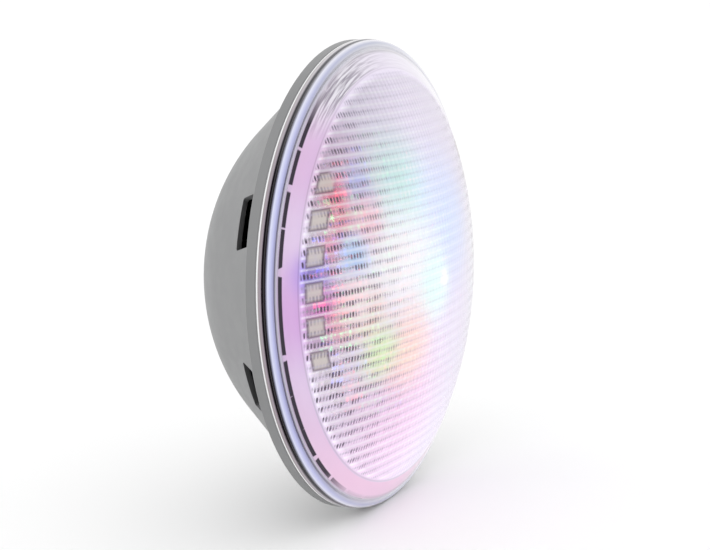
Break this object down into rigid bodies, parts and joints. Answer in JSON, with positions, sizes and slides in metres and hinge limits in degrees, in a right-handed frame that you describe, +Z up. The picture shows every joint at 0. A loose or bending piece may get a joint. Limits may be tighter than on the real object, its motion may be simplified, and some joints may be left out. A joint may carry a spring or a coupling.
{
  "type": "underwater pool light lamp",
  "caption": "Sealed round underwater pool lamp: ribbed clear dome lens over a colour LED array, with a slotted grey bowl housing and rear screw terminals.",
  "frame": {"origin": "on the lamp's axis, in the plane where the lens's rim meets the housing's rim", "axes": "-Y along the light beam, out of the front of the lens; +Y towards the rear terminals; +Z up; +X to the right for someone facing the lens from the front"},
  "size_m": [0.1778, 0.0988, 0.1778],
  "materials": {
    "lens_clear": "clear moulded polycarbonate with fine lens ribs",
    "gasket_silicone": "translucent white silicone",
    "housing_grey": "fine moulded grain",
    "sink_aluminium": "die-cast, black anodised against the pool water",
    "pad_grey": "soft silicone pad",
    "board_white": "aluminium core under white solder mask",
    "liner_white": "satin white",
    "led_red": "resin lens over a red chip",
    "led_green": "resin lens over a green chip",
    "led_blue": "resin lens over a blue chip",
    "cup_silver": "silver-grey satin",
    "collimator_clear": "clear polished",
    "screw_steel": "bright stainless",
    "board_green": "green solder mask",
    "can_sleeve": "dark shrink sleeve",
    "ferrite": "bare ferrite with a dark winding",
    "chip_black": "moulded epoxy",
    "socket_black": "moulded nylon",
    "pin_gold": "gold-plated pins",
    "stud_brass": "nickel-free brass, rolled thread",
    "nut_brass": "turned brass",
    "bush_nylon": "natural nylon",
    "seal_black": "black nitrile",
    "lug_tin": "tinned brass",
    "lead_red": "silicone insulation",
    "lead_black": "silicone insulation",
    "base_black": "glass-filled nylon"
  },
  "bodies": {
    "lamp": {"front_lens": "lens_clear", "rim_gasket": "gasket_silicone", "rear_housing": "housing_grey", "heat_sink": "sink_aluminium", "thermal_pad": "pad_grey", "led_board": "board_white", "reflector_liner": "liner_white", "red_leds": "led_red", "green_leds": "led_green", "blue_leds": "led_blue", "led_cups": "cup_silver", "collimator_lenses": "collimator_clear", "board_screws": "screw_steel", "cooling_fins": "sink_aluminium", "driver_board": "board_green", "driver_screws": "screw_steel", "smoothing_capacitors": "can_sleeve", "power_inductor": "ferrite", "bridge_rectifier": "chip_black", "colour_drivers": "chip_black", "control_chip": "chip_black", "link_socket": "socket_black", "link_header": "pin_gold", "housing_screws": "screw_steel", "terminal_base": "base_black", "upper_stud": "stud_brass", "upper_stud_bush": "bush_nylon", "upper_stud_seal": "seal_black", "upper_lead_lug": "lug_tin", "upper_supply_lead": "lead_red", "upper_jam_nut": "nut_brass", "lower_stud": "stud_brass", "lower_stud_bush": "bush_nylon", "lower_stud_seal": "seal_black", "lower_lead_lug": "lug_tin", "lower_supply_lead": "lead_black", "lower_jam_nut": "nut_brass"},
    "upper_washers": {"upper_washer": "screw_steel", "upper_spring_washer": "screw_steel"},
    "lower_washers": {"lower_washer": "screw_steel", "lower_spring_washer": "screw_steel"},
    "upper_nut": {"upper_terminal_nut": "nut_brass"},
    "lower_nut": {"lower_terminal_nut": "nut_brass"}
  },
  "joints": [
    {"name": "upper_nut_travel", "type": "slide", "parent": "lamp", "child": "upper_washers", "axis": [0, 1, 0], "range_m": [0, 0.0035]},
    {"name": "upper_nut_turn", "type": "hinge", "parent": "upper_washers", "child": "upper_nut", "pos_m": [0, 0.0637, 0.013], "axis": [0, 1, 0], "range_deg": [0, 1801]},
    {"name": "lower_nut_travel", "type": "slide", "parent": "lamp", "child": "lower_washers", "axis": [0, 1, 0], "range_m": [0, 0.0035]},
    {"name": "lower_nut_turn", "type": "hinge", "parent": "lower_washers", "child": "lower_nut", "pos_m": [0, 0.0637, -0.013], "axis": [0, 1, 0], "range_deg": [0, 1801]}
  ],
  "couplings": [
    {"joint": "upper_nut_turn", "follows": "upper_nut_travel", "rad_per_m": 8976},
    {"joint": "lower_nut_turn", "follows": "lower_nut_travel", "rad_per_m": 8976}
  ]
}
